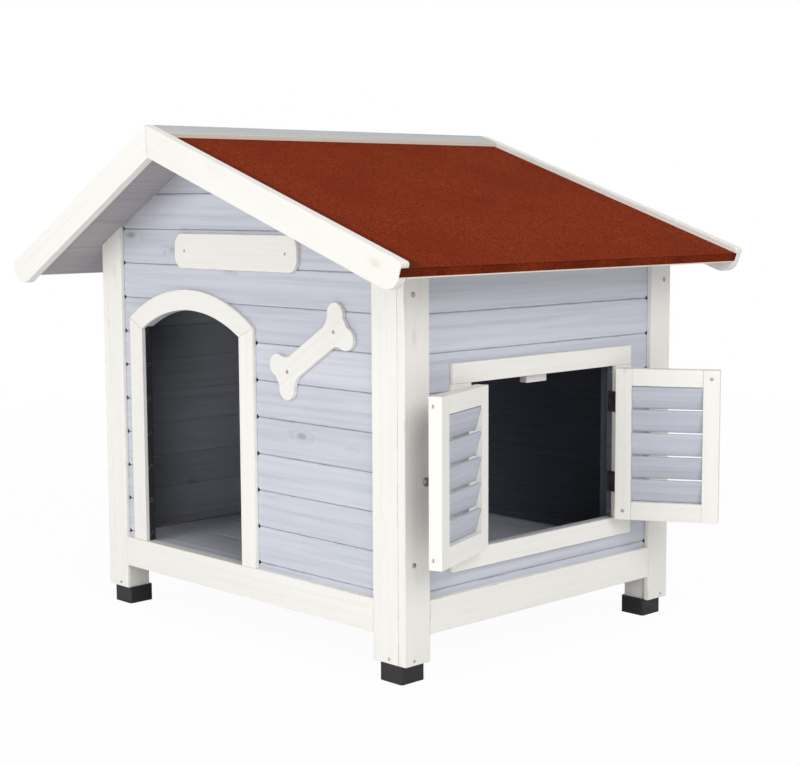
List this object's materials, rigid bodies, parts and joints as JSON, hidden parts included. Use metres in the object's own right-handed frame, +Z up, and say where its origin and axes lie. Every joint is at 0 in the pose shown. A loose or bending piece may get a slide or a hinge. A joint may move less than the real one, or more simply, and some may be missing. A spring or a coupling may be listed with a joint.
{
  "type": "dog house",
  "caption": "Timber dog house with an uneven gable roof, arched doorway, planked walls on four capped posts, and a window with a pair of hinged louvred shutters",
  "frame": {"origin": "on the ground, in the middle between the four feet", "axes": "+Z up; -Y is the front gable with the doorway; +X is the wall with the shuttered window; the ridge runs along Y"},
  "size_m": [0.9964, 0.7585, 0.804],
  "materials": {
    "white_timber": "opaque warm white stain, satin, faint grain",
    "blue_boarding": "translucent light grey-blue glaze over knotty softwood",
    "glazed_timber": "grey-blue glaze over planed softwood",
    "bare_timber": "unpainted softwood boarding",
    "roofing_felt": "brick red mineral-faced bitumen felt, rough",
    "foot_plastic": "near-black matt plastic",
    "fixings": "dull zinc",
    "hinge_steel": "dark bronzed steel",
    "knob_steel": "dark bronzed steel"
  },
  "bodies": {
    "house": {"front_planks": "blue_boarding", "bone": "white_timber", "bone_screws": "fixings", "cover_nails": "fixings", "cover_screws": "fixings", "door_arch": "white_timber", "door_stiles": "white_timber", "floor_boards": "blue_boarding", "floor_joists": "glazed_timber", "foot_front_left": "foot_plastic", "foot_front_right": "foot_plastic", "foot_rear_left": "foot_plastic", "foot_rear_right": "foot_plastic", "front_barge_left": "white_timber", "front_barge_right": "white_timber", "front_cover_boards": "white_timber", "front_rail": "white_timber", "jamb_hinge_leaves": "hinge_steel", "left_cover_boards": "white_timber", "left_planks": "blue_boarding", "left_rail": "white_timber", "name_plate": "white_timber", "plate_nails": "fixings", "post_front_left": "glazed_timber", "post_front_right": "glazed_timber", "post_rear_left": "glazed_timber", "post_rear_right": "glazed_timber", "rear_barge_left": "white_timber", "rear_barge_right": "white_timber", "rear_cover_boards": "white_timber", "rear_planks": "blue_boarding", "rear_rail": "white_timber", "ridge_boards": "white_timber", "right_cover_boards": "white_timber", "right_planks": "blue_boarding", "right_rail": "white_timber", "roof_battens": "glazed_timber", "roof_deck_left": "bare_timber", "roof_deck_right": "bare_timber", "roof_felt_left": "roofing_felt", "roof_felt_right": "roofing_felt", "shutter_stop": "glazed_timber", "wall_battens": "glazed_timber", "window_battens": "glazed_timber", "window_head_board": "white_timber", "window_side_boards": "white_timber", "window_sill_board": "white_timber"},
    "front_shutter": {"front_shutter_hinge_leaves": "hinge_steel", "front_shutter_knob": "knob_steel", "front_shutter_rails": "white_timber", "front_shutter_screws": "fixings", "front_shutter_slats": "blue_boarding", "front_shutter_stiles": "white_timber"},
    "rear_shutter": {"rear_shutter_hinge_leaves": "hinge_steel", "rear_shutter_rails": "white_timber", "rear_shutter_screws": "fixings", "rear_shutter_slats": "blue_boarding", "rear_shutter_stiles": "white_timber"}
  },
  "joints": [
    {"name": "front_shutter_hinge", "type": "hinge", "parent": "house", "child": "front_shutter", "pos_m": [0.3715, -0.1648, 0.3025], "axis": [0, 0, 1], "range_deg": [-15, 160]},
    {"name": "rear_shutter_hinge", "type": "hinge", "parent": "house", "child": "rear_shutter", "pos_m": [0.3715, 0.1648, 0.3025], "axis": [0, 0, 1], "range_deg": [-121, 54]}
  ]
}
